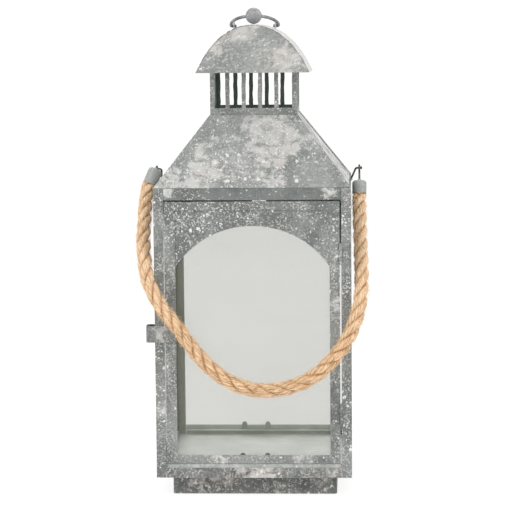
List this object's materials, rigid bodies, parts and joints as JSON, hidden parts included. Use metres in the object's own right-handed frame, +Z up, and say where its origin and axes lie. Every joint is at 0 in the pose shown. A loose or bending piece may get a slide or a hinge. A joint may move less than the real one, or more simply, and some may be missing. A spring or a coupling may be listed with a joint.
{
  "type": "hurricane candle lantern",
  "caption": "Square zinc-sheet candle lantern with glazed sides, an arched glass door, a hip roof, a barred vent under a barrel cap, and a rope handle.",
  "frame": {"origin": "middle of the foot's underside", "axes": "+Z up, -Y out through the door, +X towards the door's hinges"},
  "size_m": [0.2843, 0.2996, 0.5984],
  "materials": {
    "zinc": "mottled, speckled zinc grey, matt",
    "dark_zinc": "darker mottled zinc grey, matt",
    "wire": "dull grey wire",
    "glass": "clear",
    "jute": "twisted natural fibre rope"
  },
  "bodies": {
    "body": {"apron_rail_front": "zinc", "arch_panel_back": "zinc", "arch_panel_left": "zinc", "arch_panel_right": "zinc", "base_plinth": "dark_zinc", "bottom_rail_back": "zinc", "bottom_rail_left": "zinc", "bottom_rail_right": "zinc", "cap_barrel": "zinc", "cap_base_plate": "zinc", "cap_face_back": "zinc", "cap_face_front": "zinc", "door_stop_tab": "zinc", "floor_plate": "zinc", "glass_back": "glass", "glass_clip_back_left": "dark_zinc", "glass_clip_back_right": "dark_zinc", "glass_clip_left": "dark_zinc", "glass_clip_right": "dark_zinc", "glass_left": "glass", "glass_right": "glass", "handle_staple_left": "wire", "handle_staple_right": "wire", "hinge_lower_pin": "wire", "hinge_lower_post_leaf": "zinc", "hinge_upper_pin": "wire", "hinge_upper_post_leaf": "zinc", "post_back_left": "zinc", "post_back_right": "zinc", "post_front_left": "zinc", "post_front_right": "zinc", "ring_lug_left": "wire", "ring_lug_right": "wire", "roof_panel_back": "zinc", "roof_panel_front": "zinc", "roof_panel_left": "zinc", "roof_panel_right": "zinc", "top_rail_back": "zinc", "top_rail_front": "zinc", "top_rail_left": "zinc", "top_rail_right": "zinc", "vent_wall_back": "zinc", "vent_wall_front": "zinc", "vent_wall_left": "zinc", "vent_wall_right": "zinc"},
    "door": {"door_arch_panel": "zinc", "door_frame": "zinc", "door_glass": "glass", "door_glass_clip_left": "dark_zinc", "door_glass_clip_right": "dark_zinc", "latch_strip": "zinc", "hinge_lower_door_leaf": "zinc", "hinge_upper_door_leaf": "zinc"},
    "handle": {"handle_rope": "jute", "eye_pin_left": "wire", "eye_pin_right": "wire", "ferrule_left": "zinc", "ferrule_right": "zinc"},
    "ring": {"top_ring": "wire", "ring_ball": "wire"}
  },
  "joints": [
    {"name": "door_swing", "type": "hinge", "parent": "body", "child": "door", "pos_m": [0.107, -0.1225, 0.2024], "axis": [0, 0, 1], "range_deg": [0, 170]},
    {"name": "handle_swing", "type": "hinge", "parent": "body", "child": "handle", "pos_m": [0, 0, 0.3965], "axis": [-1, 0, 0], "range_deg": [0, 230], "deforming": ["handle_rope"]},
    {"name": "ring_swing", "type": "hinge", "parent": "body", "child": "ring", "pos_m": [0, 0, 0.5758], "axis": [-1, 0, 0], "range_deg": [0, 130]}
  ]
}
